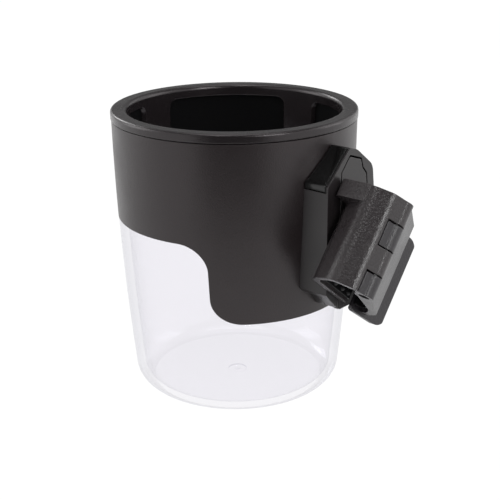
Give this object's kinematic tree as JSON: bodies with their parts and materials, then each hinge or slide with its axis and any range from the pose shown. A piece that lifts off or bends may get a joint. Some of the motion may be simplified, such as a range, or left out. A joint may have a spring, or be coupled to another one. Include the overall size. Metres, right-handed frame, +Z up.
{
  "type": "clamp-on cup holder",
  "caption": "Clear-walled cup holder in a black sleeve, with a push-button receiver on its side and a hinged, rubber-lined tube clamp that swivels on a plug-in tongue.",
  "frame": {"origin": "centre of the cup's base", "axes": "+Z up along the cup's axis, +X from the cup's axis out through the receiver and the clamp's swivel"},
  "size_m": [0.1237, 0.092, 0.1085],
  "materials": {
    "clear_plastic": "clear moulded plastic, smooth",
    "sleeve_black": "fine satin texture",
    "rim_black": "satin",
    "receiver_black": "satin",
    "clamp_black": "fine spark-eroded texture",
    "gloss_black": "polished",
    "rubber_black": "matte soft rubber",
    "washer_white": "waxy, natural",
    "steel": "zinc plated",
    "spring_steel": "bright drawn wire and strip"
  },
  "bodies": {
    "carrier": {"tongue": "clamp_black", "friction_washer": "washer_white"},
    "holder": {"clear_cup": "clear_plastic", "outer_sleeve": "sleeve_black", "rim_collar": "rim_black", "grip_pad_1": "rubber_black", "grip_pad_2": "rubber_black", "grip_pad_3": "rubber_black", "grip_pad_4": "rubber_black", "receiver_base": "receiver_black", "receiver_housing": "receiver_black", "receiver_screws": "steel", "latch_leaf": "spring_steel", "button_spring": "spring_steel"},
    "button": {"release_button": "gloss_black"},
    "clamp": {"clamp_body": "clamp_black", "pivot_screw": "steel", "pivot_nut": "steel", "spring_washer": "spring_steel", "hinge_pin": "steel", "body_pad": "rubber_black", "jaw_spring": "spring_steel"},
    "jaw": {"clamp_jaw": "clamp_black", "jaw_pad": "rubber_black"}
  },
  "joints": [
    {"name": "holder_lift", "type": "slide", "parent": "carrier", "child": "holder", "axis": [0, 0, 1], "range_m": [0, 0.057], "deforming": ["latch_leaf"]},
    {"name": "button_press", "type": "slide", "parent": "holder", "child": "button", "axis": [0, 1, 0], "range_m": [0, 0.0014], "stiffness_N_per_m": 400, "springref_m": -0.002, "deforming": ["button_spring", "latch_leaf"]},
    {"name": "clamp_swivel", "type": "hinge", "parent": "carrier", "child": "clamp", "pos_m": [0.054, 0.002, 0.066], "axis": [1, 0, 0], "range_deg": [-51, 129]},
    {"name": "jaw_hinge", "type": "hinge", "parent": "clamp", "child": "jaw", "pos_m": [0.0743, -0.00678, 0.07311], "axis": [0, -0.6293, -0.7771], "range_deg": [0, 75], "stiffness_Nm_per_rad": 0.05, "springref_deg": -57.3, "deforming": ["jaw_spring"]}
  ]
}
